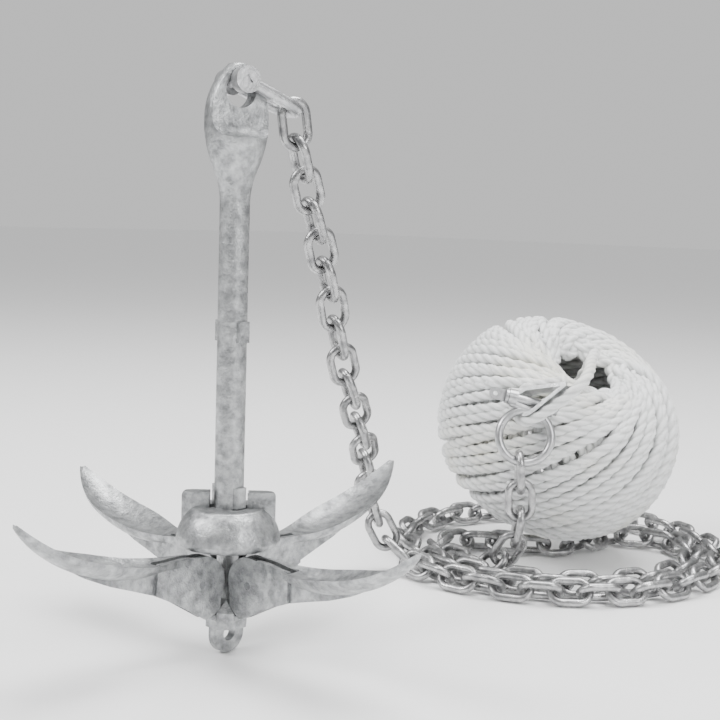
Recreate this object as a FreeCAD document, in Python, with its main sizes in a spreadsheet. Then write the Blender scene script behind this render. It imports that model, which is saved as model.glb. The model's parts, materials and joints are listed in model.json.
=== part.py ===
import FreeCAD, Part
import math
import os
import Sketcher
from FreeCAD import Matrix, Placement, Rotation, Vector

# Folding grapnel anchor with its chain and a ball of rope.
# The origin is the middle of the tripping eye under the crown, +Z runs up the shank
# and the four flukes lie along +X, +Y, -X and -Y.  All lengths are millimetres.

SIZES = {
    # shank and head
    "head_top": 367.5, "head_flat": 5.5, "head_wide_z": 333.5, "head_wide_r": 20.5,
    "neck_z": 302.5, "neck_r": 14.3, "neck_end_z": 280.2, "shaft_r": 9.6, "shaft_end_z": 62.0,
    "head_arc": 46.0, "neck_arc": 80.0, "foot_arc": 57.6,
    "web_half": 6.0, "web_foot_z": 332.0, "runout_r": 13.0, "head_twist": -15.0,
    "eye_z": 350.5, "eye_r": 10.5,
    "key_half": 4.0, "key_out": 12.2, "key_height": 13.5, "lower_key_z": 84.9, "middle_key_z": 192.3,
    # crown
    "core_half": 5.0, "crown_low": 5.6, "crown_top": 16.5, "crown_flat": 13.1, "flare_top": 24.5,
    "flare_flat": 7.07, "shelf_half": 5.0, "shelf_out": 18.6, "shelf_mid_z": 5.8, "shelf_out_z": 13.75,
    "slot_half": 5.3, "slot_arc": 24.0, "arm_half": 2.3, "arm_boss": 7.0,
    "trip_out": 12.5, "trip_bore": 4.8, "trip_thick": 6.0,
    # fluke pivots
    "pin_out": 25.0, "pin_z": 37.5, "pin_r": 2.5, "pin_long": 10.0, "pivot_gap": 0.05,
    # flukes, measured from the pivot
    "lobe_r": 18.5, "heel_x": 16.5, "heel_r": 23.7, "heel_end_x": 5.0, "root_half": 5.0,
    "cheek_gap": 5.2, "clevis_end": 37.0, "root_top": 18.3, "fluke_web": 5.6,
    "fluke_lift": 4.5,
    # collar
    "collar_low": 59.5, "collar_r": 34.0, "collar_side_z": 65.0, "collar_lip": 4.5, "collar_in": 28.6,
    "collar_flat": 22.3, "collar_top": 84.5, "collar_roof": 80.0, "collar_bore": 9.65, "keyway_r": 13.1,
    "collar_shoulder": 30.0, "cavity_top_r": 19.0,
    "wing_in": 12.5, "wing_knee": 24.0, "wing_out": 30.5, "wing_top": 94.5, "wing_half": 4.5,
    "wing_edge": 1.6,
    # head shackle
    "bow_bar": 8.0, "jaw": 16.0, "bow_long": 48.0, "ear_r": 8.3, "bolt_r": 4.0, "bolt_gap": 0.05,
    "bolt_head": 6.4, "bolt_sink": 2.6, "bolt_z": 356.9, "bow_drop": 22.0,
    # chain
    "wire": 6.0, "link_long": 36.0, "link_wide": 24.0, "pitch": 23.4,
    # bow shackle and thimble at the rope's end
    "rope_bar": 6.6, "rope_jaw": 26.0, "rope_bow": 20.5, "rope_reach": 48.0, "rope_ear": 6.4, "rope_pin": 3.3,
    "thimble_r": 9.0, "thimble_back": 4.0, "thimble_point": 28.0, "thimble_wall": 1.1, "thimble_wide": 11.0,
    "thimble_flange": 2.0, "rope_r": 4.8,
    # ball of rope
    "ball_x": 0.0, "ball_y": 372.0, "ball_z": 101.0, "ball_r": 106.0, "ball_half": 74.0,
    "ball_bend": 60.0, "hole_r": 13.0, "funnel_r": 24.0, "lean_front": 28.0, "lean_side": 18.0,
}

doc = FreeCAD.newDocument("anchor")
sheet = doc.addObject("Spreadsheet::Sheet", "Sizes")
for row, (name, value) in enumerate(SIZES.items(), start=1):
    sheet.set("A%d" % row, name)
    sheet.set("B%d" % row, repr(value))
    sheet.setAlias("B%d" % row, name)
doc.recompute()


class Size:
    """A length from the sheet, or a sum of them, with the expression that gives it."""

    def __init__(self, value, text):
        self.value = value
        self.text = text

    def join(self, other, sign, value):
        return Size(value, "(%s %s %s)" % (self.text, sign, other.text))

    def __add__(self, other):
        other = as_size(other)
        return self.join(other, "+", self.value + other.value)

    def __sub__(self, other):
        other = as_size(other)
        return self.join(other, "-", self.value - other.value)

    def __mul__(self, other):
        other = as_size(other)
        return self.join(other, "*", self.value * other.value)

    def __truediv__(self, other):
        other = as_size(other)
        return self.join(other, "/", self.value / other.value)

    def __neg__(self):
        return Size(-self.value, "(-%s)" % self.text)

    def root(self):
        return Size(math.sqrt(self.value), "sqrt(%s)" % self.text)


def as_size(number):
    if isinstance(number, Size):
        return number
    return Size(float(number), "(%s)" % repr(float(number)))


def size(name):
    return Size(getattr(sheet, name), "Sizes.%s" % name)


def origin_plane(body, role):
    return [plane for plane in body.Origin.OriginFeatures if plane.Role == role][0]


def new_sketch(body, name, role, offset=None, turn=None):
    """A sketch on one of the body's own planes, raised by offset and turned about its upright."""
    sketch = body.newObject("Sketcher::SketchObject", name)
    sketch.AttachmentSupport = [(origin_plane(body, role), "")]
    sketch.MapMode = "FlatFace"
    lift = as_size(0 if offset is None else offset)
    rotation = Rotation() if turn is None else Rotation(Vector(*turn[0]), turn[1])
    sketch.AttachmentOffset = Placement(Vector(0, 0, lift.value), rotation)
    if offset is not None:
        sketch.setExpression("AttachmentOffset.Base.z", lift.text)
    return sketch


def bind(sketch, kind, refs, length):
    index = sketch.addConstraint(Sketcher.Constraint(kind, *refs, length.value))
    sketch.setExpression("Constraints[%d]" % index, length.text)


def arc_of(start, end, radius):
    """The short arc from start to end; a negative radius bends it the clockwise way."""
    chord = end - start
    rise = math.sqrt(max(radius * radius - chord.Length ** 2 / 4, 0.0))
    left = Vector(-chord.y, chord.x, 0).normalize()
    centre = start + chord * 0.5 + left * math.copysign(rise, radius)
    middle = centre + (start + chord * 0.5 - centre).normalize() * abs(radius)
    return Part.Arc(start, middle, end)


def outline(sketch, corners):
    """Draw a closed outline and tie every corner and arc radius to the sheet."""
    corners = [tuple(as_size(number) for number in corner) for corner in corners]
    first = sketch.GeometryCount
    ends = []
    for index, corner in enumerate(corners):
        after = corners[(index + 1) % len(corners)]
        start = Vector(corner[0].value, corner[1].value, 0)
        end = Vector(after[0].value, after[1].value, 0)
        if len(corner) == 3:
            sketch.addGeometry(arc_of(start, end, corner[2].value))
            ends.append((1, 2) if corner[2].value > 0 else (2, 1))
        else:
            sketch.addGeometry(Part.LineSegment(start, end))
            ends.append((1, 2))
    count = len(corners)
    for index, corner in enumerate(corners):
        here = first + index
        following = (index + 1) % count
        sketch.addConstraint(Sketcher.Constraint("Coincident", here, ends[index][1],
                                                 first + following, ends[following][0]))
        bind(sketch, "DistanceX", (-1, 1, here, ends[index][0]), corner[0])
        bind(sketch, "DistanceY", (-1, 1, here, ends[index][0]), corner[1])
        if len(corner) == 3:
            radius = corner[2] if corner[2].value > 0 else -corner[2]
            bind(sketch, "Radius", (here,), radius)


def circle(sketch, x, y, radius):
    x, y, radius = as_size(x), as_size(y), as_size(radius)
    here = sketch.addGeometry(Part.Circle(Vector(x.value, y.value, 0), Vector(0, 0, 1), radius.value))
    bind(sketch, "DistanceX", (-1, 1, here, 3), x)
    bind(sketch, "DistanceY", (-1, 1, here, 3), y)
    bind(sketch, "Radius", (here,), radius)


def volume_of(body):
    doc.recompute()
    return body.Shape.Volume if not body.Shape.isNull() else 0.0


def feature(body, kind, name, sketch, **values):
    """Add a PartDesign feature; sizes are bound and the solid's volume must change."""
    before = volume_of(body)
    made = body.newObject("PartDesign::" + kind, name)
    made.Profile = sketch
    for key, value in values.items():
        if isinstance(value, Size):
            made.setExpression(key, value.text)
            setattr(made, key, value.value)
        else:
            setattr(made, key, value)
    after = volume_of(body)
    if abs(after - before) < 0.01:
        raise RuntimeError("%s of %s changes nothing" % (name, body.Label))
    return made


def pad(body, name, sketch, length, middle=False):
    return feature(body, "Pad", name, sketch, Length=as_size(length),
                   SideType="Symmetric" if middle else "One side")


def pocket(body, name, sketch, length, middle=False, reverse=False):
    return feature(body, "Pocket", name, sketch, Length=as_size(length), Reversed=reverse,
                   SideType="Symmetric" if middle else "One side")


def revolve(body, name, sketch):
    return feature(body, "Revolution", name, sketch, ReferenceAxis=(sketch, ["V_Axis"]), Angle=360.0)


def new_body(name):
    body = doc.addObject("PartDesign::Body", name)
    body.Label = name
    return body


nodes = []


def finish(item, name):
    item.Label = name
    nodes.append(item)
    return item


# ---------------------------------------------------------------- shank

def make_shank():
    body = new_body("shank")
    pin_out, pin_z = size("pin_out"), size("pin_z")

    section = new_sketch(body, "shank_section", "XZ_Plane")
    shaft = size("shaft_r")
    outline(section, [
        (0, size("shaft_end_z") - 2),
        (size("core_half"), size("shaft_end_z") - 2),
        (shaft, size("shaft_end_z") + 2),
        (shaft, size("neck_end_z"), -size("foot_arc")),
        (size("neck_r"), size("neck_z"), size("neck_arc")),
        (size("head_wide_r"), size("head_wide_z"), size("head_arc")),
        (size("head_flat"), size("head_top")),
        (0, size("head_top")),
    ])
    revolve(body, "shaft", section)

    core = new_sketch(body, "core_square", "XY_Plane", size("crown_low") + 6)
    half = size("core_half")
    outline(core, [(-half, -half), (half, -half), (half, half), (-half, half)])
    pad(body, "core", core, size("shaft_end_z") - size("crown_low") - 5)

    block = new_sketch(body, "crown_octagon", "XY_Plane", size("crown_low"))
    outline(block, octagon(size("crown_flat")))
    pad(body, "crown", block, size("crown_top") - size("crown_low"))

    flare_low = new_sketch(body, "flare_low", "XY_Plane", size("crown_top"))
    outline(flare_low, octagon(size("crown_flat")))
    flare_high = new_sketch(body, "flare_high", "XY_Plane", size("flare_top"))
    outline(flare_high, octagon(size("flare_flat")))
    before = volume_of(body)
    flare = body.newObject("PartDesign::AdditiveLoft", "flare")
    flare.Profile = flare_low
    flare.Sections = [flare_high]
    flare.Ruled = True
    if volume_of(body) - before < 1:
        raise RuntimeError("the crown flare adds nothing")

    for role in ("XZ_Plane", "YZ_Plane"):
        shelf = new_sketch(body, "shelf_" + role[:2], role)
        out, high = size("shelf_out"), size("shelf_out_z")
        top = size("crown_top") - 1
        outline(shelf, [
            (0, size("shelf_mid_z")), (out, high), (out, top), (-out, top), (-out, high),
        ])
        pad(body, "shelves_" + role[:2], shelf, size("shelf_half") * 2, middle=True)

    for role in ("XZ_Plane", "YZ_Plane"):
        slot = new_sketch(body, "web_slot_" + role[:2], role)
        arc = size("slot_arc")
        reach = pin_out - half
        depth = (arc * arc - reach * reach).root()
        for side in (1, -1):
            high = pin_z + 10
            corners = [(half * side, pin_z - depth), ((pin_out + 3) * side, pin_z - (arc * arc - 9).root()),
                       ((pin_out + 3) * side, high), (half * side, high)]
            corners[0] = corners[0] + (arc * side,)
            outline(slot, corners)
        pocket(body, "web_slots_" + role[:2], slot, size("slot_half") * 2, middle=True)

    for role in ("XZ_Plane", "YZ_Plane"):
        arms = new_sketch(body, "arms_" + role[:2], role)
        boss = size("arm_boss")
        outline(arms, [
            (-pin_out, pin_z - boss), (pin_out, pin_z - boss, boss + 0.0001),
            (pin_out, pin_z + boss), (-pin_out, pin_z + boss, boss + 0.0001),
        ])
        pad(body, "pivot_arms_" + role[:2], arms, size("arm_half") * 2, middle=True)
        holes = new_sketch(body, "arm_holes_" + role[:2], role)
        circle(holes, pin_out, pin_z, size("pin_r"))
        circle(holes, -pin_out, pin_z, size("pin_r"))
        pocket(body, "arm_bores_" + role[:2], holes, size("arm_half") * 2 + 2, middle=True)

    for name in ("lower_key", "middle_key"):
        keys = new_sketch(body, name + "_outline", "XY_Plane", size(name + "_z"))
        wide, deep = size("key_out"), size("key_half")
        outline(keys, [(-wide, -deep), (wide, -deep), (wide, deep), (-wide, deep)])
        pad(body, name, keys, size("key_height"))

    facets = new_sketch(body, "head_facets", "XZ_Plane", turn=((0, 1, 0), size("head_twist").value))
    web, foot, run = size("web_half"), size("web_foot_z"), size("runout_r")
    for side in (1, -1):
        outline(facets, [
            (web * side, foot, run * side), ((web + run) * side, foot - run + 2),
            (30 * side, foot - run + 2), (30 * side, size("head_top") + 4), (web * side, size("head_top") + 4),
        ])
    pocket(body, "head_faces", facets, 60, middle=True)

    eye = new_sketch(body, "head_eye_outline", "YZ_Plane", turn=((0, 1, 0), size("head_twist").value))
    circle(eye, 0, size("eye_z"), size("eye_r"))
    pocket(body, "head_eye", eye, 40, middle=True)
    return body


def make_tripping_eye():
    """The plate under the crown, with the hole for a tripping line."""
    body = new_body("tripping_eye")
    trip = new_sketch(body, "trip_plate", "YZ_Plane")
    out = size("trip_out")
    outline(trip, [(-out, 0, out + 0.0001), (out, 0), (out, size("crown_low")), (-out, size("crown_low"))])
    pad(body, "plate", trip, size("trip_thick"), middle=True)
    hole = new_sketch(body, "trip_hole", "YZ_Plane")
    circle(hole, 0, 0, size("trip_bore"))
    pocket(body, "tripping_hole", hole, size("trip_thick") + 4, middle=True)
    return body


def octagon(flat):
    """Corners of an octagon whose sides stand at the distance flat, one side facing +X."""
    short = flat * math.tan(math.radians(22.5))
    return [
        (flat, -short), (flat, short), (short, flat), (-short, flat),
        (-flat, short), (-flat, -short), (-short, -flat), (short, -flat),
    ]


finish(make_shank(), "shank")


# ---------------------------------------------------------------- flukes

# Palm stations: distance from the pivot, rim height, half width, hollow, thickness, edge.
PALM = [
    (9.0, 18.7, 5.1, 0.25, 6.0, 5.2),
    (30.0, 18.0, 8.6, 1.0, 5.4, 4.4),
    (48.0, 18.2, 14.4, 4.0, 5.0, 3.0),
    (74.0, 22.3, 18.6, 7.0, 5.0, 2.8),
    (100.0, 27.8, 17.0, 5.2, 4.6, 2.8),
    (121.0, 36.4, 11.4, 2.8, 4.0, 2.6),
    (138.0, 48.4, 2.2, 0.3, 2.8, 2.4),
]


def make_fluke(name):
    body = new_body(name)
    lobe, heel_x, heel = size("lobe_r"), size("heel_x"), size("heel_r")
    heel_end, end, top = size("heel_end_x"), size("clevis_end"), size("root_top")

    root = new_sketch(body, name + "_root", "XZ_Plane")
    outline(root, [
        (0, lobe, lobe), (-heel_x, -(lobe * lobe - heel_x * heel_x).root()),
        (-heel_x, -(heel * heel - heel_x * heel_x).root(), heel),
        (-heel_end, -(heel * heel - heel_end * heel_end).root()),
        (19.2, -10.4), (end, -3.2), (end, top - 1.5),
    ])
    pad(body, name + "_root_block", root, size("root_half") * 2, middle=True)

    web = new_sketch(body, name + "_web", "XZ_Plane")
    outline(web, [
        (end - 8, -6.4), (end, -3.2), (54, 1.6), (71, 6.2), (88, 12.4), (102, 19.5),
        (98, 20.5), (74, 12.5), (48, 11.8), (end - 8, 13.5),
    ])
    pad(body, name + "_web_plate", web, size("fluke_web"), middle=True)

    sections = []
    for index, (reach, rim, half, hollow, thick, edge) in enumerate(PALM, start=1):
        station = new_sketch(body, "%s_palm_%d" % (name, index), "YZ_Plane", as_size(reach))
        low = half * 0.94
        sag = hollow + thick - edge
        outline(station, [
            (-half, rim, (half * half + hollow * hollow) / (2 * hollow)), (half, rim),
            (low, rim - edge, -(low * low + sag * sag) / (2 * sag)), (-low, rim - edge),
        ])
        sections.append(station)
    before = volume_of(body)
    palm = body.newObject("PartDesign::AdditiveLoft", name + "_palm")
    palm.Profile = sections[0]
    palm.Sections = sections[1:]
    if volume_of(body) - before < 100:
        raise RuntimeError("the palm of %s adds nothing" % name)

    slot = new_sketch(body, name + "_clevis", "XZ_Plane")
    outline(slot, [(-30, -40), (end, -40), (end, 40), (-30, 40)])
    pocket(body, name + "_clevis_slot", slot, size("cheek_gap"), middle=True)
    bore = new_sketch(body, name + "_bore", "XZ_Plane")
    circle(bore, 0, 0, size("pin_r") + size("pivot_gap"))
    pocket(body, name + "_pivot_bore", bore, 30, middle=True)
    return body


FLUKES = (("fluke_front_right", 0, 0), ("fluke_rear_right", 90, 1),
          ("fluke_rear_left", 180, 0), ("fluke_front_left", 270, 1))
for fluke_name, heading, lifted in FLUKES:
    fluke = make_fluke(fluke_name)
    angle = math.radians(heading)
    out = sheet.pin_out
    tilt = Rotation(Vector(0, 1, 0), -sheet.fluke_lift * lifted)
    fluke.Placement = Placement(Vector(out * math.cos(angle), out * math.sin(angle), sheet.pin_z),
                                Rotation(Vector(0, 0, 1), heading).multiply(tilt))
    finish(fluke, fluke_name)


def make_pins():
    """Four pivot pins in the crown arms."""
    pins = []
    for index, (_, heading, _) in enumerate(FLUKES):
        angle = math.radians(heading)
        side = Vector(-math.sin(angle), math.cos(angle), 0)
        middle = Vector(sheet.pin_out * math.cos(angle), sheet.pin_out * math.sin(angle), sheet.pin_z)
        pins.append(Part.makeCylinder(sheet.pin_r, sheet.pin_long, middle - side * (sheet.pin_long / 2), side))
    item = doc.addObject("Part::Feature", "fluke_pins")
    item.Shape = Part.makeCompound(pins)
    return item


finish(make_pins(), "fluke_pins")


# ---------------------------------------------------------------- collar

def make_collar():
    body = new_body("collar")
    knee, out, half = size("wing_knee"), size("wing_out"), size("wing_half")
    top = size("wing_top")
    roof = size("collar_roof")
    bar = new_sketch(body, "wing_side", "XZ_Plane", turn=((0, 1, 0), 45.0))
    outline(bar, [
        (-out + 1.5, roof - 6), (-20, roof + 1.5), (20, roof + 1.5), (out - 1.5, roof - 6),
        (out, roof - 5), (out, top - 3, 3.0001), (out - 3, top), (-out + 3, top, 3.0001), (-out, top - 3),
        (-out, roof - 5),
    ])
    pad(body, "wings", bar, half * 2, middle=True)
    bevel = new_sketch(body, "wing_bevel", "XY_Plane", roof - 10, turn=((0, 0, 1), 45.0))
    for x_side in (1, -1):
        for y_side in (1, -1):
            outline(bevel, [
                (knee * x_side, half * y_side), ((out + 1) * x_side, (size("wing_edge") - 0.4) * y_side),
                ((out + 1) * x_side, (half + 2) * y_side), (knee * x_side, (half + 2) * y_side),
            ])
    pocket(body, "wing_bevels", bevel, 60, reverse=True)

    dome = new_sketch(body, "dome_section", "XZ_Plane")
    low, wide, lip = size("collar_low"), size("collar_r"), size("collar_lip")
    bore, flat = size("collar_bore"), size("collar_flat")
    outline(dome, [
        (size("collar_in"), low), (wide - lip, low, lip * 1.05), (wide, low + lip, size("collar_shoulder")),
        (flat + 2.2, size("collar_top") - 1.4, 3.2), (flat, size("collar_top")),
        (bore, size("collar_top")), (bore, roof),
        (size("cavity_top_r"), roof, -(size("collar_shoulder") - 6)), (size("collar_in"), low + 6),
    ])
    revolve(body, "dome", dome)

    centre = new_sketch(body, "wing_gap", "XY_Plane", size("collar_top"))
    circle(centre, 0, 0, size("wing_in"))
    pocket(body, "wing_gap_cut", centre, 40, reverse=True)
    hole = new_sketch(body, "collar_hole", "XY_Plane", roof - 4)
    circle(hole, 0, 0, bore)
    pocket(body, "collar_bore_cut", hole, 40, reverse=True)

    ways = new_sketch(body, "keyways", "XY_Plane", roof - 4)
    outer, inner = size("keyway_r"), bore - 1
    start, stop = math.radians(-32.0), math.radians(68.0)
    for turn in (0.0, math.pi):
        a, b = start + turn, stop + turn
        outline(ways, [
            (inner * math.cos(a), inner * math.sin(a)), (outer * math.cos(a), outer * math.sin(a), outer),
            (outer * math.cos(b), outer * math.sin(b)), (inner * math.cos(b), inner * math.sin(b), -inner),
        ])
    pocket(body, "keyway_cuts", ways, 40, reverse=True)
    return body


finish(make_collar(), "collar")
finish(make_tripping_eye(), "tripping_eye")



# ---------------------------------------------------------------- head shackle

def place(item, spot, *turns):
    """Set the Placement from a point and turns, the last turn made first."""
    rotation = Rotation()
    for axis, angle in turns:
        rotation = rotation.multiply(Rotation(Vector(*axis), angle))
    item.Placement = Placement(spot, rotation)
    return item


def half_ring(body, name, role, offset, reach, radius, reverse=False):
    """Half a round bar bent about the sketch's upright."""
    section = new_sketch(body, name + "_section", role, offset)
    circle(section, reach, 0, radius)
    return feature(body, "Revolution", name, section, ReferenceAxis=(section, ["V_Axis"]), Angle=180.0,
                   Reversed=reverse)


def make_head_bow():
    """The D-shaped bar: the bolt lies along its own X, the bow runs out along its own Y."""
    body = new_body("head_shackle_bow")
    leg = (size("jaw") + size("bow_bar")) / 2
    run = size("bow_long") - size("bow_bar") / 2 - leg
    half_ring(body, "bow", "XZ_Plane", -run, leg, size("bow_bar") / 2)
    legs = new_sketch(body, "leg_sections", "XZ_Plane", as_size(-5))
    circle(legs, leg, 0, size("bow_bar") / 2)
    circle(legs, -leg, 0, size("bow_bar") / 2)
    pad(body, "legs", legs, run - 5).Reversed = True
    for side in (1, -1):
        ear = new_sketch(body, "ear_%d" % (side + 2), "YZ_Plane", leg * side - size("bow_bar") / 2 - 0.2)
        circle(ear, 0, 0, size("ear_r"))
        pad(body, "ear_pad_%d" % (side + 2), ear, size("bow_bar") + 0.4)
    bore = new_sketch(body, "bolt_hole", "YZ_Plane")
    circle(bore, 0, 0, size("bolt_r") + size("bolt_gap"))
    pocket(body, "bolt_bore", bore, 60, middle=True)
    sink = new_sketch(body, "bolt_sink_outline", "XY_Plane")
    face = size("jaw") / 2 + size("bow_bar")
    gap = size("bolt_gap")
    outline(sink, [
        (face + 1, 0), (face + 1, size("bolt_head") + gap), (face, size("bolt_head") + gap),
        (face - size("bolt_sink"), size("bolt_r") + gap), (face - size("bolt_sink"), 0),
    ])
    feature(body, "Groove", "bolt_countersink", sink, ReferenceAxis=(sink, ["H_Axis"]), Angle=360.0)
    return body


def make_head_bolt():
    body = new_body("head_shackle_bolt")
    face = size("jaw") / 2 + size("bow_bar")
    half = new_sketch(body, "bolt_outline", "XY_Plane")
    outline(half, [
        (-face, 0), (face, 0), (face, size("bolt_head")), (face - size("bolt_sink"), size("bolt_r")),
        (-face + 0.8, size("bolt_r")), (-face, size("bolt_r") - 0.8),
    ])
    feature(body, "Revolution", "bolt", half, ReferenceAxis=(half, ["H_Axis"]), Angle=360.0)
    socket = new_sketch(body, "bolt_socket_outline", "YZ_Plane", face)
    outline(socket, [(3.6, -0.6), (-1.6, 3.2), (-2.4, -2.8)])
    pocket(body, "bolt_socket", socket, 2)
    return body


BOLT_SPOT = Vector(0, 0, sheet.bolt_z)
HEAD_TURNS = (((0, 0, 1), sheet.head_twist), ((1, 0, 0), -sheet.bow_drop))
finish(place(make_head_bow(), BOLT_SPOT, *HEAD_TURNS), "head_shackle_bow")
finish(place(make_head_bolt(), BOLT_SPOT, *HEAD_TURNS), "head_shackle_bolt")


# ---------------------------------------------------------------- chain

def make_link():
    """One short link, lying in its own XY plane and long along its own X."""
    body = new_body("link_pattern")
    bend = (size("link_wide") - size("wire")) / 2
    half = (size("link_long") - size("link_wide")) / 2
    half_ring(body, "end_far", "YZ_Plane", half, bend, size("wire") / 2, reverse=True)
    sides = new_sketch(body, "side_sections", "YZ_Plane", -half)
    circle(sides, bend, 0, size("wire") / 2)
    circle(sides, -bend, 0, size("wire") / 2)
    pad(body, "sides", sides, half * 2)
    half_ring(body, "end_near", "YZ_Plane", -half, bend, size("wire") / 2)
    return body


def turned(vector, axis, angle):
    return Rotation(axis, angle).multVec(vector)


def carried(normal, before, after):
    """The normal as it comes round from one link's direction to the next, without twisting."""
    return Rotation(before, after).multVec(normal)


def joints_along(points, start, pitch, count):
    """Joints one pitch apart along a smooth line through the points."""
    curve = Part.BSplineCurve()
    curve.interpolate(points)
    joints = [start]
    low = curve.FirstParameter
    step = (curve.LastParameter - low) / 30000
    place_now = low
    while len(joints) < count + 1:
        spot = curve.value(place_now)
        while (spot - joints[-1]).Length < (pitch if joints[-1].z > 60 else pitch - 1.2):
            place_now += step
            if place_now > curve.LastParameter:
                return joints
            spot = curve.value(place_now)
        joints.append(spot)
    return joints


def polar(angle, radius, height):
    """A point about the ball's middle."""
    turn = math.radians(angle)
    return Vector(sheet.ball_x + radius * math.cos(turn), sheet.ball_y + radius * math.sin(turn), height)


FLOOR = -sheet.trip_out
LIE = FLOOR + 9.95
HANGING = [Vector(10.2, 43.4, 321.3), Vector(2.0, 66.0, 280.0), Vector(-8.0, 94.0, 230.0),
           Vector(-18.0, 121.0, 172.0), Vector(-36.0, 162.0, 115.0), Vector(-54.0, 190.0, 80.0),
           Vector(-67.0, 213.0, 42.0), Vector(-65.5, 223.0, 21.5), Vector(-53.5, 228.6, 4.7)]
OUTER_TURNS = [polar(angle, 146.9 - (angle - 268) * 0.062, LIE) for angle in range(268, 768, 20)]
INNER_TURN = [Vector(61, 466, LIE), Vector(36, 462, LIE), Vector(17, 445, LIE), Vector(12, 424, LIE),
              Vector(10, 400, LIE), Vector(2, 376, LIE), Vector(-15, 357, LIE), Vector(-37, 345, LIE),
              Vector(-56, 332, LIE), Vector(-66, 311, LIE), Vector(-62, 292, LIE), Vector(-49, 277, LIE),
              Vector(-28, 272, LIE), Vector(-4, 269, LIE)]
RISE = [Vector(17, 267, LIE + 5), Vector(33, 268, LIE + 22), Vector(41, 266, LIE + 46),
        Vector(42, 263, LIE + 72), Vector(42, 261, LIE + 110)]


def make_chain(pattern):
    """Every link in order, each with its own place; a link's hole takes the next one."""
    pitch = sheet.pitch
    route = HANGING + [Vector(-32, 229, LIE + 0.6)] + OUTER_TURNS + INNER_TURN + RISE
    joints = joints_along(route, HANGING[0], pitch, 200)
    spots = []
    heading = (joints[1] - joints[0]).normalize()
    normal = Vector(math.cos(math.radians(15)), -math.sin(math.radians(15)), 0)
    bow_end = head_bow_end()
    first = (joints[0] - bow_end).normalize()
    reach = sheet.link_long / 2 - sheet.wire / 2
    spots.append((bow_end - first * (sheet.bow_bar / 2 + sheet.wire / 2 + 0.2) + first * reach, first, normal))
    before = first
    for index in range(len(joints) - 1):
        heading = (joints[index + 1] - joints[index]).normalize()
        normal = carried(normal, before, heading)
        normal = turned(normal, heading, 90 + (CHAIN_TWIST if index < 16 else 0.0))
        spots.append(((joints[index] + joints[index + 1]) * 0.5, heading, normal))
        before = heading
    return spots


def head_bow_end():
    rotation = Rotation(Vector(0, 0, 1), sheet.head_twist).multiply(Rotation(Vector(1, 0, 0), -sheet.bow_drop))
    return BOLT_SPOT + rotation.multVec(Vector(0, sheet.bow_long - sheet.bow_bar / 2, 0))


def link_matrix(spot, heading, normal):
    """Turn and move the pattern so that X runs along the heading and Z along the normal."""
    normal = (normal - heading * normal.dot(heading)).normalize()
    side = normal.cross(heading)
    return Placement(Matrix(heading.x, side.x, normal.x, spot.x,
                            heading.y, side.y, normal.y, spot.y,
                            heading.z, side.z, normal.z, spot.z,
                            0, 0, 0, 1))


CHAIN_TWIST = 1.0
link_pattern = make_link()
doc.recompute()


def make_link_group(name, spots):
    """One node of separate links."""
    links = []
    for spot in spots:
        link = link_pattern.Shape.copy()
        link.Placement = link_matrix(*spot)
        links.append(link)
    item = doc.addObject("Part::Feature", name)
    item.Shape = links[0] if len(links) == 1 else Part.makeCompound(links)
    return item


SPOTS = make_chain(link_pattern)
HUNG = 17
RISING = 4
FLOOR_GROUP = 4
for index in range(HUNG):
    finish(make_link_group("hanging_link_%02d" % (index + 1), [SPOTS[index]]), "hanging_link_%02d" % (index + 1))
floor_spots = SPOTS[HUNG:len(SPOTS) - RISING]
for index in range(0, len(floor_spots), FLOOR_GROUP):
    group_name = "floor_links_%02d" % (index // FLOOR_GROUP + 1)
    finish(make_link_group(group_name, floor_spots[index:index + FLOOR_GROUP]), group_name)
for index in range(RISING):
    finish(make_link_group("rising_link_%d" % (index + 1), [SPOTS[len(SPOTS) - RISING + index]]),
           "rising_link_%d" % (index + 1))


# ---------------------------------------------------------------- bow shackle, thimble and rope

RIGHT = Vector(0.731, 0.682, 0)
NEAR = Vector(0.682, -0.731, 0)
UP = Vector(0, 0, 1)


def across(right, up, near):
    """A direction from parts to the right, up and to the front of the ball."""
    return (RIGHT * right + UP * up + NEAR * near).normalize()


def frame_at(spot, along, out):
    """Placement whose X runs along the first direction and Y near the second."""
    x = Vector(along).normalize()
    y = (out - x * out.dot(x)).normalize()
    z = x.cross(y)
    return Placement(Matrix(x.x, y.x, z.x, spot.x, x.y, y.y, z.y, spot.y, x.z, y.z, z.z, spot.z, 0, 0, 0, 1))


def round_bar(edges, radius):
    """A round bar along joined edges."""
    wire = Part.Wire(edges)
    start = edges[0].valueAt(edges[0].FirstParameter)
    heading = edges[0].tangentAt(edges[0].FirstParameter)
    ring = Part.Wire([Part.makeCircle(radius, start, heading)])
    return wire.makePipeShell([ring], True, False)


def bow_shackle_spot():
    top_link, heading, _ = SPOTS[-1]
    reach = sheet.link_long / 2 - sheet.wire / 2
    return top_link + heading * (reach - sheet.wire / 2 - sheet.rope_bar / 2 - 0.7)


BOW_X = across(0.978, -0.208, 0.0)
BOW_Y = across(-0.203, -0.952, 0.227)


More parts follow.
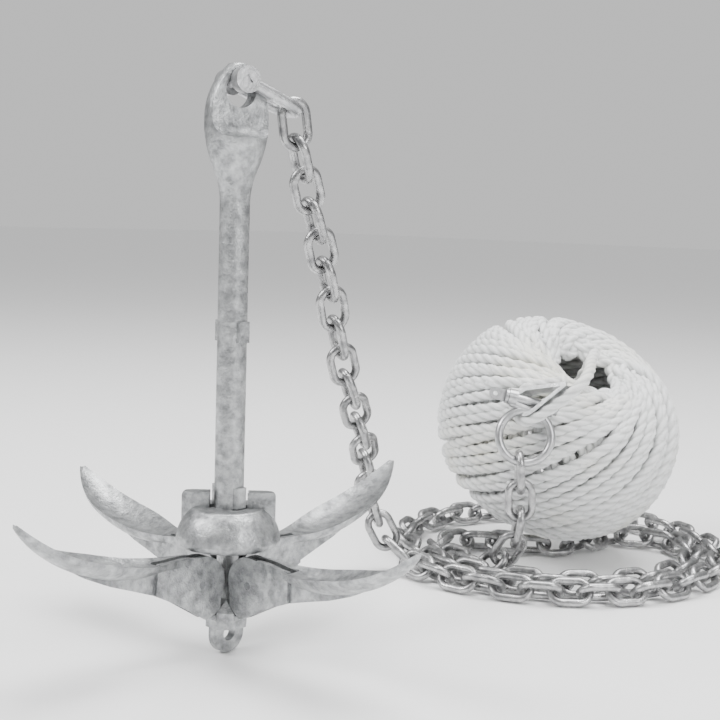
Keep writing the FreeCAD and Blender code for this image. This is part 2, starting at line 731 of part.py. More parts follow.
def make_bow_shackle():
    """Round bow with two eyed ends; the pin lies along its own X."""
    bar, bend, depth = sheet.rope_bar / 2, sheet.rope_bow, sheet.rope_reach
    half = sheet.rope_jaw / 2 + bar
    centre = Vector(0, depth - bend, 0)
    reach = centre - Vector(half, 0, 0)
    lean = math.atan2(reach.y, reach.x) - math.acos(bend / reach.Length) - math.pi
    touch = centre + Vector(math.cos(lean), math.sin(lean), 0) * bend
    mirror = Vector(-touch.x, touch.y, 0)
    edges = [
        Part.LineSegment(Vector(half, 4.5, 0), touch).toShape(),
        Part.Arc(touch, Vector(0, depth, 0), mirror).toShape(),
        Part.LineSegment(mirror, Vector(-half, 4.5, 0)).toShape(),
    ]
    shape = round_bar(edges, bar)
    for side in (1, -1):
        ear = Part.makeCylinder(sheet.rope_ear, sheet.rope_bar, Vector(half * side - bar, 0, 0), Vector(1, 0, 0))
        shape = shape.fuse(ear)
    bore = Part.makeCylinder(sheet.rope_pin + 0.05, 80, Vector(-40, 0, 0), Vector(1, 0, 0))
    return shape.cut(bore)


def make_bow_pin():
    """Screw pin with a round collar and a flat eye at its left end."""
    half, radius = sheet.rope_jaw / 2 + sheet.rope_bar, sheet.rope_pin
    shape = Part.makeCylinder(radius, half * 2 + 1.5, Vector(-half - 0.5, 0, 0), Vector(1, 0, 0))
    collar = Part.makeCylinder(radius + 2.4, 2.2, Vector(-half - 2.5, 0, 0), Vector(1, 0, 0))
    tab = Part.makeBox(9, 9, 3, Vector(-half - 11, -4.5, -1.5))
    tip = Part.makeCylinder(4.5, 3, Vector(-half - 11, 0, -1.5), Vector(0, 0, 1))
    hole = Part.makeCylinder(2.0, 8, Vector(-half - 10.5, 0, -4), Vector(0, 0, 1))
    return shape.fuse([collar, tab, tip]).cut(hole).removeSplitter()


def teardrop(radius, back, point):
    """Round crown about (-back, 0) with two straight sides meeting at (point, 0)."""
    span = point + back
    spread = math.acos(radius / span)
    high = Vector(-back + radius * math.cos(spread), radius * math.sin(spread), 0)
    low = Vector(high.x, -high.y, 0)
    return Part.Wire([
        Part.LineSegment(Vector(point, 0, 0), high).toShape(),
        Part.Arc(high, Vector(-back - radius, 0, 0), low).toShape(),
        Part.LineSegment(low, Vector(point, 0, 0)).toShape(),
    ])


def make_thimble():
    """Teardrop channel: X runs to the point, Z across the channel."""
    wall, wide, flange = sheet.thimble_wall, sheet.thimble_wide, sheet.thimble_flange
    ratio = (sheet.thimble_point + sheet.thimble_back) / sheet.thimble_r

    def drop(grow, low, high):
        radius = sheet.thimble_r + grow
        wire = teardrop(radius, sheet.thimble_back, radius * ratio - sheet.thimble_back)
        face = Part.Face(wire)
        return face.extrude(Vector(0, 0, high - low)).translated(Vector(0, 0, low))

    half = wide / 2
    shape = drop(wall, -half, half)
    for side in (1, -1):
        low = half - wall if side == 1 else -half
        shape = shape.fuse(drop(wall + flange, low, low + wall))
    shape = shape.cut(drop(0, -half - 1, half + 1))
    blunt = Part.makeBox(60, 80, 40, Vector(sheet.thimble_point + 5, -40, -20))
    return shape.cut(blunt).removeSplitter()


def make_ball():
    """Wound rope: rounded barrel with a hole along its axis and a funnel at the top."""
    body = new_body("rope_coil")
    section = new_sketch(body, "coil_section", "XZ_Plane")
    radius, half, hole, funnel = size("ball_r"), size("ball_half"), size("hole_r"), size("funnel_r")
    bend = size("ball_bend")
    outline(section, [
        (hole, -half), (radius * 0.52, -half, bend * 1.5), (radius, 0, bend * 1.5), (radius * 0.52, half),
        (funnel, half), (hole, half - 26),
    ])
    revolve(body, "coil", section)
    return body


def corner_run(points):
    """Straight runs joined by tangent arcs; prints each bend's radius."""
    edges = []
    here = points[0]
    for index in range(1, len(points) - 1):
        corner = points[index]
        back, ahead = points[index - 1] - corner, points[index + 1] - corner
        turn = math.pi - back.getAngle(ahead)
        cut = 0.45 * min(back.Length, ahead.Length)
        radius = cut / math.tan(turn / 2)
        print("rope bend %d: radius %.1f mm" % (index, radius))
        back, ahead = back.normalize(), ahead.normalize()
        start, end = corner + back * cut, corner + ahead * cut
        inward = (back + ahead).normalize()
        middle = corner + inward * (radius / math.cos(turn / 2) - radius)
        edges.append(Part.LineSegment(here, start).toShape())
        edges.append(Part.Arc(start, middle, end).toShape())
        here = end
    edges.append(Part.LineSegment(here, points[-1]).toShape())
    return edges


def make_rope_tail():
    """The rope's free run: out of the ball's hole, then round the thimble to its tucked end."""
    radius = sheet.thimble_r + sheet.thimble_wall + sheet.rope_r + 0.15
    back = sheet.thimble_back
    lean = math.asin(sheet.thimble_r / (sheet.thimble_point + back))
    reach = 34.0

    def at(x, y):
        return THIMBLE_SPOT + THIMBLE_X * x + THIMBLE_Y * y

    high = at(-back + radius * math.sin(lean), radius * math.cos(lean))
    low = at(-back + radius * math.sin(lean), -radius * math.cos(lean))
    crown = Part.Arc(low, at(-back - radius, 0), high).toShape()
    side = (reach + back) * math.cos(lean)
    low_end = low + (THIMBLE_X * math.cos(lean) + THIMBLE_Y * math.sin(lean)) * (side - radius * math.tan(lean) * 0.2)
    high_end = high + (THIMBLE_X * math.cos(lean) - THIMBLE_Y * math.sin(lean)) * (side - 6)
    mouth = BALL_SPOT + BALL_AXIS * sheet.ball_half
    out = mouth + BALL_AXIS * 9 + NEAR * 3
    bend = low_end + (THIMBLE_X * math.cos(lean) + THIMBLE_Y * math.sin(lean)) * 6
    points = [mouth - BALL_AXIS * 24 - NEAR * 2, out, out + (bend - out) * 0.42 + BALL_AXIS * 3,
              out + (bend - out) * 0.8 + BALL_AXIS * 5 + RIGHT * 4, bend + RIGHT * 2, low_end - (bend - low_end) * 2]
    edges = corner_run(points)
    edges.append(Part.LineSegment(points[-1], low).toShape())
    edges.append(crown)
    edges.append(Part.LineSegment(high, high_end).toShape())
    length = sum(edge.Length for edge in edges)
    shape = round_bar(edges, sheet.rope_r)
    print("rope tail: %.1f mm long, volume %.0f against %.0f" % (
        length, shape.Volume, math.pi * sheet.rope_r ** 2 * length))
    return shape


BALL_SPOT = Vector(sheet.ball_x, sheet.ball_y, sheet.ball_z) - NEAR * 2.5
BALL_AXIS = across(math.tan(math.radians(sheet.lean_side)), 1.0, math.tan(math.radians(sheet.lean_front)))
BOW_SPOT = bow_shackle_spot() - BOW_Y * sheet.rope_reach
THIMBLE_X = across(0.72, 0.46, 0.52)
THIMBLE_Y = across(-0.1, 0.8, -0.59)
THIMBLE_SPOT = BOW_SPOT + THIMBLE_X * 2.0


def make_plain(name, shape, placement):
    item = doc.addObject("Part::Feature", name)
    item.Shape = shape
    item.Placement = placement
    return finish(item, name)


make_plain("bow_shackle", make_bow_shackle(), frame_at(BOW_SPOT, BOW_X, BOW_Y))
make_plain("bow_shackle_pin", make_bow_pin(), frame_at(BOW_SPOT, BOW_X, BOW_Y))
make_plain("thimble", make_thimble(), frame_at(THIMBLE_SPOT, THIMBLE_X, THIMBLE_Y))
ball = make_ball()
ball.Placement = frame_at(BALL_SPOT, BALL_AXIS.cross(NEAR).normalize(), BALL_AXIS.cross(BALL_AXIS.cross(NEAR)))
finish(ball, "rope_coil")
make_plain("rope_tail", make_rope_tail(), Placement())


def check_nodes():
    """Stops unless every object is sound and every solid is closed."""
    doc.recompute()
    for item in doc.Objects:
        if "Invalid" in item.State or "Error" in item.State:
            raise RuntimeError("%s is %s" % (item.Label, item.State))
    for item in nodes:
        if item.Shape.isNull() or not item.Shape.isValid():
            raise RuntimeError("%s has a bad shape" % item.Label)


def export_nodes():
    """Writes one STEP file per node and prints its volume and box."""
    os.makedirs("parts", exist_ok=True)
    for item in nodes:
        shape = item.Shape
        box = shape.BoundBox
        print("%-20s %10.1f mm3  x %.1f..%.1f y %.1f..%.1f z %.1f..%.1f  solids %d" % (
            item.Label, shape.Volume, box.XMin, box.XMax, box.YMin, box.YMax, box.ZMin, box.ZMax,
            len(shape.Solids)))
        shape.exportStep("parts/%s.step" % item.Label)


check_nodes()
export_nodes()
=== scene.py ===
"""Folding grapnel anchor with its chain, shackles, thimble and ball of laid rope.

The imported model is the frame: its metal nodes are kept and given galvanised finishes,
and the plain solids of the rope are replaced by one laid rope, wound into its ball.
"""
import json
import logging
import math
import random
from dataclasses import dataclass, field
from enum import Enum

import bpy
import numpy as np
from mathutils import Matrix, Vector


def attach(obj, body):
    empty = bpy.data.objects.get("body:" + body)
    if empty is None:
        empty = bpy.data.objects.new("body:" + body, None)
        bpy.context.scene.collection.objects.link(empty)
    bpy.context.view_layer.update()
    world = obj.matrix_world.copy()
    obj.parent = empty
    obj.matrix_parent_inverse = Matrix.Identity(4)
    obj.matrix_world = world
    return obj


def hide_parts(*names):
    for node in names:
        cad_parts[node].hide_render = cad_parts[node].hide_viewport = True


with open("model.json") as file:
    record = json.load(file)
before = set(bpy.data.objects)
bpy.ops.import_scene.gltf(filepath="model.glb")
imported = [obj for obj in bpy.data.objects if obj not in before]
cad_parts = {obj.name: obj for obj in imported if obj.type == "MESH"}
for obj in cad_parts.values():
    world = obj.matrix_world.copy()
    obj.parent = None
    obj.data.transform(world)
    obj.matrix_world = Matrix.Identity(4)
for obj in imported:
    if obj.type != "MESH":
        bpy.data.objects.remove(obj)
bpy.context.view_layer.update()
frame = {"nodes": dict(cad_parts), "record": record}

LOG = logging.getLogger("anchor")
MM = 0.001


class Slot(Enum):
    """Material slots of the record that the nodes take their finish from."""

    ANCHOR = "anchor_zinc"
    PINS = "pin_steel"
    CHAIN = "chain_zinc"
    SHACKLE = "shackle_zinc"
    THIMBLE = "thimble_zinc"
    ROPE = "rope"


def socket(group: bpy.types.NodeTree, name: str, kind: str, inward: bool, value: object = None) -> None:
    """Adds a named socket to a shader group.

    Args:
        group: the node group.
        name: the socket's name.
        kind: the socket type, such as NodeSocketFloat.
        inward: True for an input, False for an output.
        value: the default of an input, if it has one.
    """
    made = group.interface.new_socket(name=name, in_out="INPUT" if inward else "OUTPUT", socket_type=kind)
    if value is not None:
        made.default_value = value


def link(tree: bpy.types.NodeTree, source: bpy.types.NodeSocket, target: bpy.types.NodeSocket) -> None:
    """Joins two sockets."""
    tree.links.new(source, target)


def ramp(tree: bpy.types.NodeTree, low: float, high: float) -> bpy.types.ShaderNodeMapRange:
    """Adds a clamped map from low..high to 0..1.

    Args:
        tree: the node tree.
        low: the value that becomes 0.
        high: the value that becomes 1.

    Returns:
        The new node.
    """
    node = tree.nodes.new("ShaderNodeMapRange")
    node.inputs["From Min"].default_value = low
    node.inputs["From Max"].default_value = high
    return node


def zinc_group() -> bpy.types.NodeTree:
    """Builds the shader group for hot-dipped zinc: clouding, spangle, dull patches and fine runs.

    Returns:
        The group, with outputs Color, Roughness and Height.
    """
    group = bpy.data.node_groups.new("Zinc skin", "ShaderNodeTree")
    socket(group, "Light", "NodeSocketColor", True, (0.6, 0.6, 0.6, 1))
    socket(group, "Dark", "NodeSocketColor", True, (0.3, 0.3, 0.3, 1))
    socket(group, "Cloud Scale", "NodeSocketFloat", True, 60.0)
    socket(group, "Grain Scale", "NodeSocketFloat", True, 900.0)
    socket(group, "Smooth", "NodeSocketFloat", True, 0.3)
    socket(group, "Rough", "NodeSocketFloat", True, 0.6)
    socket(group, "Color", "NodeSocketColor", False)
    socket(group, "Roughness", "NodeSocketFloat", False)
    socket(group, "Height", "NodeSocketFloat", False)
    inputs = group.nodes.new("NodeGroupInput")
    outputs = group.nodes.new("NodeGroupOutput")
    place = group.nodes.new("ShaderNodeTexCoord")

    cloud = group.nodes.new("ShaderNodeTexNoise")
    cloud.inputs["Detail"].default_value = 6.0
    cloud.inputs["Roughness"].default_value = 0.62
    link(group, place.outputs["Object"], cloud.inputs["Vector"])
    link(group, inputs.outputs["Cloud Scale"], cloud.inputs["Scale"])
    clouding = ramp(group, 0.34, 0.66)
    link(group, cloud.outputs["Fac"], clouding.inputs["Value"])

    spangle = group.nodes.new("ShaderNodeTexVoronoi")
    spangle.inputs["Scale"].default_value = 260.0
    link(group, place.outputs["Object"], spangle.inputs["Vector"])
    flake = ramp(group, 0.0, 1.0)
    flake.inputs["To Min"].default_value = 0.86
    flake.inputs["To Max"].default_value = 1.08
    link(group, spangle.outputs["Color"], flake.inputs["Value"])

    shade = group.nodes.new("ShaderNodeMix")
    shade.data_type = "RGBA"
    link(group, clouding.outputs["Result"], shade.inputs["Factor"])
    link(group, inputs.outputs["Dark"], shade.inputs["A"])
    link(group, inputs.outputs["Light"], shade.inputs["B"])
    tint = group.nodes.new("ShaderNodeVectorMath")
    tint.operation = "SCALE"
    link(group, shade.outputs["Result"], tint.inputs[0])
    link(group, flake.outputs["Result"], tint.inputs["Scale"])
    link(group, tint.outputs["Vector"], outputs.inputs["Color"])

    grain = group.nodes.new("ShaderNodeTexNoise")
    grain.inputs["Detail"].default_value = 4.0
    link(group, place.outputs["Object"], grain.inputs["Vector"])
    link(group, inputs.outputs["Grain Scale"], grain.inputs["Scale"])
    dull = group.nodes.new("ShaderNodeMix")
    dull.data_type = "FLOAT"
    link(group, cloud.outputs["Fac"], dull.inputs["Factor"])
    link(group, inputs.outputs["Rough"], dull.inputs["A"])
    link(group, inputs.outputs["Smooth"], dull.inputs["B"])
    link(group, dull.outputs["Result"], outputs.inputs["Roughness"])
    height = group.nodes.new("ShaderNodeMath")
    height.operation = "MULTIPLY_ADD"
    height.inputs[1].default_value = 0.35
    link(group, grain.outputs["Fac"], height.inputs[0])
    link(group, cloud.outputs["Fac"], height.inputs[2])
    link(group, height.outputs["Value"], outputs.inputs["Height"])
    return group


@dataclass(frozen=True)
class ZincFinish:
    """A galvanised finish.

    Attributes:
        name: the material's name.
        light: colour of the bright patches.
        dark: colour of the dull patches.
        metallic: how metallic the skin is.
        cloud_scale: size of the clouding, larger is finer.
        grain_scale: size of the grain, larger is finer.
        smooth: roughness of the bright patches.
        rough: roughness of the dull patches.
        relief: depth of the bumps in metres.
    """

    name: str
    light: tuple[float, float, float]
    dark: tuple[float, float, float]
    metallic: float = 0.85
    cloud_scale: float = 70.0
    grain_scale: float = 900.0
    smooth: float = 0.28
    rough: float = 0.55
    relief: float = 0.0004

    def build(self, group: bpy.types.NodeTree) -> bpy.types.Material:
        """Makes the material.

        Args:
            group: the shared zinc group.

        Returns:
            The material, ready to assign.
        """
        material = bpy.data.materials.new(self.name)
        material.use_nodes = True
        tree = material.node_tree
        shader = tree.nodes["Principled BSDF"]
        shader.inputs["Metallic"].default_value = self.metallic
        skin = tree.nodes.new("ShaderNodeGroup")
        skin.node_tree = group
        skin.inputs["Light"].default_value = (*self.light, 1.0)
        skin.inputs["Dark"].default_value = (*self.dark, 1.0)
        skin.inputs["Cloud Scale"].default_value = self.cloud_scale
        skin.inputs["Grain Scale"].default_value = self.grain_scale
        skin.inputs["Smooth"].default_value = self.smooth
        skin.inputs["Rough"].default_value = self.rough
        bump = tree.nodes.new("ShaderNodeBump")
        bump.inputs["Strength"].default_value = 0.7
        bump.inputs["Distance"].default_value = self.relief
        link(tree, skin.outputs["Color"], shader.inputs["Base Color"])
        link(tree, skin.outputs["Roughness"], shader.inputs["Roughness"])
        link(tree, skin.outputs["Height"], bump.inputs["Height"])
        link(tree, bump.outputs["Normal"], shader.inputs["Normal"])
        return material


@dataclass(frozen=True)
class RopeFinish:
    """White laid rope with fine yarns, painted shade in the grooves between its strands and faint tints.

    Attributes:
        name: the material's name.
        white: colour of the strands' crests.
        groove_shade: painted shade colour in the grooves between the strands.
        warm: the faint warm tint of some stretches.
    """

    name: str = "White laid rope"
    white: tuple[float, float, float] = (0.86, 0.87, 0.87)
    groove_shade: tuple[float, float, float] = (0.50, 0.51, 0.50)
    warm: tuple[float, float, float] = (0.84, 0.83, 0.76)

    def build(self) -> bpy.types.Material:
        """Makes the material, which reads the rope's own map (metres along it, turns round it)."""
        material = bpy.data.materials.new(self.name)
        material.use_nodes = True
        tree = material.node_tree
        shader = tree.nodes["Principled BSDF"]
        shader.inputs["Roughness"].default_value = 0.62
        shader.inputs["Sheen Weight"].default_value = 0.25
        painted_groove_mask = tree.nodes.new("ShaderNodeAttribute")
        painted_groove_mask.attribute_name = "crest"
        place = tree.nodes.new("ShaderNodeTexCoord")
        stretch = tree.nodes.new("ShaderNodeMapping")
        stretch.inputs["Scale"].default_value = (160.0, 34.0, 1.0)
        link(tree, place.outputs["UV"], stretch.inputs["Vector"])
        yarn = tree.nodes.new("ShaderNodeTexNoise")
        yarn.inputs["Scale"].default_value = 1.0
        yarn.inputs["Detail"].default_value = 3.0
        link(tree, stretch.outputs["Vector"], yarn.inputs["Vector"])
        drift = tree.nodes.new("ShaderNodeTexNoise")
        drift.inputs["Scale"].default_value = 14.0
        link(tree, place.outputs["Object"], drift.inputs["Vector"])
        tint = ramp(tree, 0.48, 0.72)
        link(tree, drift.outputs["Fac"], tint.inputs["Value"])
        body = tree.nodes.new("ShaderNodeMix")
        body.data_type = "RGBA"
        body.inputs["A"].default_value = (*self.white, 1.0)
        body.inputs["B"].default_value = (*self.warm, 1.0)
        link(tree, tint.outputs["Result"], body.inputs["Factor"])
        # Painted shade: the crest mask darkens the grooves between the strands towards the groove colour; the yarn
        # noise adds real fibre streaks.
        yarn_and_groove_shade = tree.nodes.new("ShaderNodeMath")
        yarn_and_groove_shade.operation = "MULTIPLY_ADD"
        yarn_and_groove_shade.inputs[1].default_value = 0.35
        link(tree, yarn.outputs["Fac"], yarn_and_groove_shade.inputs[0])
        link(tree, painted_groove_mask.outputs["Fac"], yarn_and_groove_shade.inputs[2])
        depth = ramp(tree, 0.10, 0.75)
        link(tree, yarn_and_groove_shade.outputs["Value"], depth.inputs["Value"])
        shade = tree.nodes.new("ShaderNodeMix")
        shade.data_type = "RGBA"
        shade.inputs["A"].default_value = (*self.groove_shade, 1.0)
        link(tree, depth.outputs["Result"], shade.inputs["Factor"])
        link(tree, body.outputs["Result"], shade.inputs["B"])
        bump = tree.nodes.new("ShaderNodeBump")
        bump.inputs["Strength"].default_value = 0.6
        bump.inputs["Distance"].default_value = 0.0006
        link(tree, yarn.outputs["Fac"], bump.inputs["Height"])
        link(tree, shade.outputs["Result"], shader.inputs["Base Color"])
        link(tree, bump.outputs["Normal"], shader.inputs["Normal"])
        return material


@dataclass(frozen=True)
class StudioCamera:
    """The camera in front of the anchor's right side.

    Attributes:
        azimuth: degrees round the object, 0 looking along +Y.
        elevation: degrees above the horizon.
        roll: degrees that the frame is turned.
        distance: metres from the point looked at.
        target: the point looked at.
        lens: focal length in mm on a 36 mm sensor.
    """

    azimuth: float = 43.0
    elevation: float = 6.3
    roll: float = 1.8
    distance: float = 0.836
    target: tuple[float, float, float] = (0.0603, 0.0563, 0.1830)
    lens: float = 65.0

    def build(self) -> bpy.types.Object:
        """Makes the camera and sets it as the scene's.

        Returns:
            The camera object.
        """
        around, above, turn = (math.radians(a) for a in (self.azimuth, self.elevation, self.roll))
        toward = Vector((math.sin(around) * math.cos(above), -math.cos(around) * math.cos(above), math.sin(above)))
        right = Vector((math.cos(around), math.sin(around), 0.0))
        up = toward.cross(right)
        turned = right * math.cos(turn) + up * math.sin(turn)
        raised = up * math.cos(turn) - right * math.sin(turn)
        data = bpy.data.cameras.new("Studio camera")
        data.lens = self.lens
        data.sensor_width = 36.0
        data.clip_end = 50.0
        camera = bpy.data.objects.new("Studio camera", data)
        bpy.context.scene.collection.objects.link(camera)
        camera.matrix_world = Matrix((turned, raised, toward)).transposed().to_4x4()
        camera.location = Vector(self.target) + toward * self.distance
        bpy.context.scene.camera = camera
        return camera


@dataclass(frozen=True)
class Softbox:
    """A soft area light.

    Attributes:
        name: its name.
        place: where it stands.
        aim: what it points at.
        size: its side in metres.
        power: its power in watts.
    """

    name: str
    place: tuple[float, float, float]
    aim: tuple[float, float, float]
    size: float
    power: float

    def build(self) -> None:
        """Makes the light."""
        data = bpy.data.lights.new(self.name, "AREA")
        data.shape = "SQUARE"
        data.size = self.size
        data.energy = self.power
        lamp = bpy.data.objects.new(self.name, data)
        bpy.context.scene.collection.objects.link(lamp)
        lamp.location = self.place
        heading = Vector(self.aim) - Vector(self.place)
        lamp.rotation_mode = "QUATERNION"
        lamp.rotation_quaternion = heading.to_track_quat("-Z", "Y")


@dataclass
class Studio:
    """Pale floor, soft light and camera.

    Attributes:
        floor_z: height of the floor under the anchor's crown.
        floor_side: the floor's side in metres.
        camera: the camera's set-up.
        boxes: the soft lights.
    """

    floor_z: float = -0.0131
    floor_side: float = 30.0
    camera: StudioCamera = field(default_factory=StudioCamera)
    boxes: tuple[Softbox, ...] = (
        Softbox("Key softbox", (-0.9, -1.3, 1.5), (0.05, 0.1, 0.12), 1.0, 42.0),
        Softbox("Right softbox", (1.7, -0.1, 0.9), (0.05, 0.2, 0.12), 0.8, 18.0),
        Softbox("Overhead softbox", (0.2, 0.5, 2.0), (0.0, 0.2, 0.0), 1.4, 60.0),
    )

    def build(self) -> None:
        """Makes the camera, the lights, the floor and the room's soft glow."""
        self.camera.build()
        for softbox in self.boxes:
            softbox.build()
        bpy.ops.object.select_all(action="DESELECT")
        bpy.ops.mesh.primitive_plane_add(size=self.floor_side, location=(0.0, 0.0, self.floor_z))
        floor = bpy.context.active_object
        floor.name = "studio_floor"
        material = bpy.data.materials.new("Pale floor")
        material.use_nodes = True
        shader = material.node_tree.nodes["Principled BSDF"]
        shader.inputs["Base Color"].default_value = (0.93, 0.93, 0.93, 1.0)
        shader.inputs["Roughness"].default_value = 0.8
        floor.data.materials.append(material)
        world = bpy.data.worlds.new("Studio")
        bpy.context.scene.world = world
        world.use_nodes = True
        self.light_room(world.node_tree)

    @staticmethod
    def light_room(tree: bpy.types.NodeTree) -> None:
        """Makes the room white to look at and a soft, graded glow as a light.

        Args:
            tree: the world's node tree.
        """
        glow = tree.nodes["Background"]
        glow.inputs["Strength"].default_value = 0.95
        place = tree.nodes.new("ShaderNodeTexCoord")
        split = tree.nodes.new("ShaderNodeSeparateXYZ")
        link(tree, place.outputs["Generated"], split.inputs["Vector"])
        rise = ramp(tree, -0.1, 0.9)
        link(tree, split.outputs["Z"], rise.inputs["Value"])
        shade = tree.nodes.new("ShaderNodeMix")
        shade.data_type = "RGBA"
        shade.inputs["A"].default_value = (0.10, 0.105, 0.11, 1.0)
        shade.inputs["B"].default_value = (1.0, 1.0, 1.0, 1.0)
        link(tree, rise.outputs["Result"], shade.inputs["Factor"])
        link(tree, shade.outputs["Result"], glow.inputs["Color"])
        backdrop = tree.nodes.new("ShaderNodeBackground")
        backdrop.inputs["Color"].default_value = (1.0, 1.0, 1.0, 1.0)
        backdrop.inputs["Strength"].default_value = 0.72
        seen = tree.nodes.new("ShaderNodeLightPath")
        chosen = tree.nodes.new("ShaderNodeMixShader")
        link(tree, seen.outputs["Is Camera Ray"], chosen.inputs["Fac"])
        link(tree, glow.outputs["Background"], chosen.inputs[1])
        link(tree, backdrop.outputs["Background"], chosen.inputs[2])
        link(tree, chosen.outputs["Shader"], tree.nodes["World Output"].inputs["Surface"])


@dataclass
class Rope:
    """The laid rope: an eye round the thimble, a free run, then its wound ball.

    Attributes:
        diameter: across the rope, in metres.
        lay: length of one full twist of its strands.
        length: the rope's whole length; not used.
        strands: how many strands it has.
        turns: how many turns the ball has.
        steps: route points in one pass from end to end of the ball.
        sink: how far the inner passes lie under the outer ones, in millimetres.
        fineness: points that the spline gives between two route points.
        centre: the ball's centre in millimetres.
        axis: the way the ball's open end faces.
    """

    diameter: float = 0.0096
    lay: float = 0.034
    length: float = 31.8
    strands: int = 3
    turns: int = 54
    steps: int = 12
    sink: float = 8.0
    fineness: int = 8
    centre: tuple[float, float, float] = (-1.7, 373.8, 101.0)
    axis: tuple[float, float, float] = (0.5094, -0.1418, 0.8488)
    eye: tuple[tuple[float, float, float], ...] = (
        (66.0, 281.7, 154.1), (47.0, 281.6, 149.6), (26.7, 280.6, 143.2), (23.1, 276.4, 132.1),
        (29.0, 271.9, 122.1), (41.0, 269.7, 119.1), (62.0, 274.4, 134.0),
    )
    run: tuple[tuple[float, float, float], ...] = (
        (81.0, 281.1, 152.1), (77.6, 297.8, 160.2), (59.6, 325.8, 165.9), (42.6, 359.9, 171.4),
        (22.4, 368.2, 143.4),
    )
    profile: tuple[tuple[float, float, float], ...] = (
        (0.00, 101.2, 0.0), (0.24, 96.4, 30.0), (0.42, 86.0, 49.0), (0.58, 72.0, 60.5),
        (0.72, 57.0, 67.0), (0.86, 41.0, 68.0), (1.00, 26.0, 60.0),
    )

    def surface(self, share: float, depth: float) -> tuple[float, float]:
        """Finds a point of the ball's half outline.

        Args:
            share: 0 at the ball's waist, 1 at its upper hole, -1 at its lower one.
            depth: how many rope thicknesses under the skin.

        Returns:
            Radius from the axis and height along it, in millimetres.
        """
        table = np.array(self.profile)
        radius = float(np.interp(abs(share), table[:, 0], table[:, 1]))
        height = float(np.interp(abs(share), table[:, 0], table[:, 2]))
        inward = 1.0 - depth * self.sink / math.hypot(radius, height)
        return radius * inward, math.copysign(height, share) * inward

    def winding(self) -> list[Vector]:
        """Works out the ball's route: passes up the outside and back one layer further in.

        Returns:
            The route's points in millimetres.
        """
        axis = Vector(self.axis).normalized()
        side = axis.cross(Vector((0.682, -0.731, 0.0))).normalized()
        front = side.cross(axis)
        rng = random.Random(7)
        advance = math.pi * (1.0 + 1.0 / self.turns)
        points = []
        for half in range(1, self.turns * 2 + 1):
            upward = half % 2 == 0
            reach = 1.0 - rng.uniform(0.0, 0.24)
            lift = rng.uniform(-0.05, 0.05)
            for step in range(self.steps):
                along = step / self.steps
                share = reach * math.sin(math.pi * (along - 0.5)) * (1.0 if upward else -1.0)
                swell = min(1.0, 3.0 * math.sin(math.pi * along)) * 0.5
                depth = 0.5 - swell + max(lift, 0.0) if upward else 0.5 + swell
                radius, height = self.surface(share, depth)
                angle = 2.2 + (half + along) * advance
                spoke = front * math.cos(angle) + side * math.sin(angle)
                points.append(Vector(self.centre) + spoke * radius + axis * height)
        return points

    def spline(self) -> tuple[np.ndarray, int]:
        """Runs one smooth spline through the whole route.

        Returns:
            The points of the centreline in metres, and how many belong to the eye and the free run.
        """
        axis = Vector(self.axis).normalized()
        middle = Vector(self.centre)
        dive = [middle + axis * 34.0 + Vector((-8.0, 6.0, 0.0)), middle + axis * 40.0 + Vector((-20.0, 4.0, 4.0))]
        lead = [Vector(p) for p in self.eye + self.run] + dive
        route = lead + self.winding()
        data = bpy.data.curves.new("Rope route", "CURVE")
        data.dimensions = "3D"
        data.resolution_u = self.fineness
        line = data.splines.new("NURBS")
        line.points.add(len(route) - 1)
        for spot, point in zip(route, line.points):
            point.co = (*(spot * MM), 1.0)
        line.order_u = 3
        line.use_endpoint_u = True
        carrier = bpy.data.objects.new("Rope route", data)
        bpy.context.scene.collection.objects.link(carrier)
        bpy.context.view_layer.update()
        mesh = bpy.data.meshes.new_from_object(carrier)
        points = np.empty(len(mesh.vertices) * 3)
        mesh.vertices.foreach_get("co", points)
        bpy.data.objects.remove(carrier)
        bpy.data.meshes.remove(mesh)
        return points.reshape(-1, 3), len(lead) * self.fineness

    def thinned(self, points: np.ndarray, lead: int) -> np.ndarray:
        """Drops every other point of the passes that lie under the skin.

        Args:
            points: the centreline.
            lead: how many points at its start are kept as they are.

        Returns:
            The points that the mesh follows.
        """
        axis = np.array(Vector(self.axis).normalized())
        offset = points - np.array(self.centre) * MM
        height = offset @ axis
        outward = np.linalg.norm(offset - np.outer(height, axis), axis=1)
        skin = np.hypot(outward, height)
        kept = [i for i in range(len(points)) if i < lead or i % 2 == 0 or self.rising(height, i)]
        kept.append(len(points) - 1)
        LOG.info("rope rings %d, skin %.4f", len(kept), float(skin.max()))
        return points[sorted(set(kept))]

    @staticmethod
    def rising(height: np.ndarray, index: int) -> bool:
        """True where the rope climbs towards the ball's open end, which is its outer layer."""
        return index + 1 < len(height) and height[index + 1] > height[index]

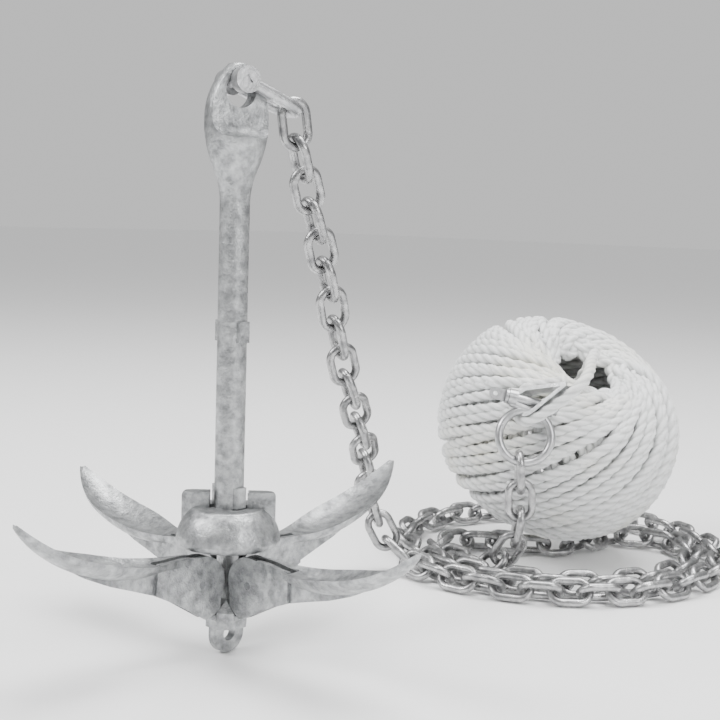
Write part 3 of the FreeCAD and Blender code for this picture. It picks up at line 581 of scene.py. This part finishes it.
    def tube(self, points: np.ndarray) -> bpy.types.Object:
        """Builds the rope's twisted section along its centreline.

        Args:
            points: the centreline in metres.

        Returns:
            The rope's mesh object.
        """
        around = self.strands * 4
        gaps = np.linalg.norm(np.diff(points, axis=0), axis=1)
        travelled = np.concatenate([[0.0], np.cumsum(gaps)])
        ahead = np.gradient(points, axis=0)
        ahead /= np.linalg.norm(ahead, axis=1)[:, None]
        side = np.cross(ahead[0], (0.0, 0.0, 1.0))
        side /= np.linalg.norm(side)
        corners = np.arange(around) * (2.0 * math.pi / around)
        lobe = np.cos(corners * self.strands)
        section = self.diameter / 2 * (0.88 + 0.12 * lobe)
        verts = np.empty((len(points), around, 3))
        for i, heading in enumerate(ahead):
            side = side - heading * float(side @ heading)
            side /= np.linalg.norm(side)
            up = np.cross(heading, side)
            turn = corners + travelled[i] * 2.0 * math.pi / self.lay
            verts[i] = points[i] + (np.outer(np.cos(turn), side) + np.outer(np.sin(turn), up)) * section[:, None]
        faces = []
        for i in range(len(points) - 1):
            here, there = i * around, (i + 1) * around
            for j in range(around):
                following = (j + 1) % around
                faces.append((here + j, here + following, there + following, there + j))
        faces.append(tuple(range(around))[::-1])
        faces.append(tuple(range((len(points) - 1) * around, len(points) * around)))
        mesh = bpy.data.meshes.new("laid_rope")
        mesh.from_pydata(verts.reshape(-1, 3).tolist(), [], faces)
        # Crest mask, 1 on the strands' crests and 0 in the grooves; the rope's material paints shade into the
        # grooves with it.
        crest = mesh.attributes.new("crest", "FLOAT", "POINT")
        crest.data.foreach_set("value", np.tile((lobe + 1.0) / 2.0, len(points)))
        self.lay_map(mesh, travelled, around)
        mesh.polygons.foreach_set("use_smooth", [True] * len(mesh.polygons))
        rope = bpy.data.objects.new("laid_rope", mesh)
        bpy.context.scene.collection.objects.link(rope)
        return rope

    @staticmethod
    def lay_map(mesh: bpy.types.Mesh, travelled: np.ndarray, around: int) -> None:
        """Gives the rope its map: metres along it, and turns round it.

        Args:
            mesh: the rope's mesh.
            travelled: distance along the rope at each ring.
            around: points in one ring.
        """
        coords = np.zeros((len(mesh.loops), 2))
        corner = 0
        for i in range(len(travelled) - 1):
            for j in range(around):
                for ring, spoke in ((i, j), (i, j + 1), (i + 1, j + 1), (i + 1, j)):
                    coords[corner] = (travelled[ring], spoke / around)
                    corner += 1
        layer = mesh.uv_layers.new(name="Rope map")
        layer.data.foreach_set("uv", coords.ravel())

    def build(self, material: bpy.types.Material) -> bpy.types.Object:
        """Args:
            material: the rope's finish.

        Returns:
            The rope.
        """
        points, lead = self.spline()
        followed = self.thinned(points, lead)
        rope = self.tube(followed)
        rope.data.materials.append(material)
        measured = float(np.linalg.norm(np.diff(points, axis=0), axis=1).sum())
        LOG.info("laid rope: %.2f m", measured)
        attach(rope, "anchor")
        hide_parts("rope_coil", "rope_tail")
        return rope


@dataclass
class Ironwork:
    """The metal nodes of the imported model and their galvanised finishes.

    Attributes:
        finishes: the finish of each material slot.
    """

    finishes: dict[Slot, ZincFinish] = field(default_factory=lambda: {
        Slot.ANCHOR: ZincFinish("Dipped zinc casting", (0.50, 0.51, 0.515), (0.21, 0.215, 0.22),
                                0.85, 130.0, 650.0, 0.26, 0.50, 0.0011),
        Slot.PINS: ZincFinish("Dull zinc pin", (0.36, 0.37, 0.38), (0.18, 0.185, 0.19),
                              0.85, 120.0, 900.0, 0.35, 0.60, 0.0003),
        Slot.CHAIN: ZincFinish("Galvanised chain wire", (0.52, 0.52, 0.52), (0.24, 0.24, 0.245),
                               0.92, 150.0, 1100.0, 0.20, 0.38, 0.0005),
        Slot.SHACKLE: ZincFinish("Galvanised shackle", (0.60, 0.60, 0.61), (0.36, 0.365, 0.37),
                                 0.90, 90.0, 900.0, 0.20, 0.42, 0.0004),
        Slot.THIMBLE: ZincFinish("Pressed zinc sheet", (0.62, 0.63, 0.63), (0.38, 0.385, 0.39),
                                 0.90, 110.0, 1200.0, 0.20, 0.40, 0.0002),
    })

    def dress(self, group: bpy.types.NodeTree) -> None:
        """Gives each metal node the finish of its material slot.

        Args:
            group: the shared zinc group.
        """
        made = {slot.value: finish.build(group) for slot, finish in self.finishes.items()}
        slots = {part["node"]: part["material_slot"] for part in frame["record"]["subparts"]}
        for name, node in frame["nodes"].items():
            material = made.get(slots.get(name, ""))
            if material is None:
                continue
            for place in node.material_slots:
                place.material = material
            LOG.info("%s: %s", name, material.name)


def main() -> None:
    """Builds the studio, the rope and the ironwork's finishes."""
    logging.basicConfig(level=logging.INFO, format="%(name)s: %(message)s")
    Studio().build()
    Rope().build(RopeFinish().build())
    Ironwork().dress(zinc_group())


if __name__ == "__main__":
    main()
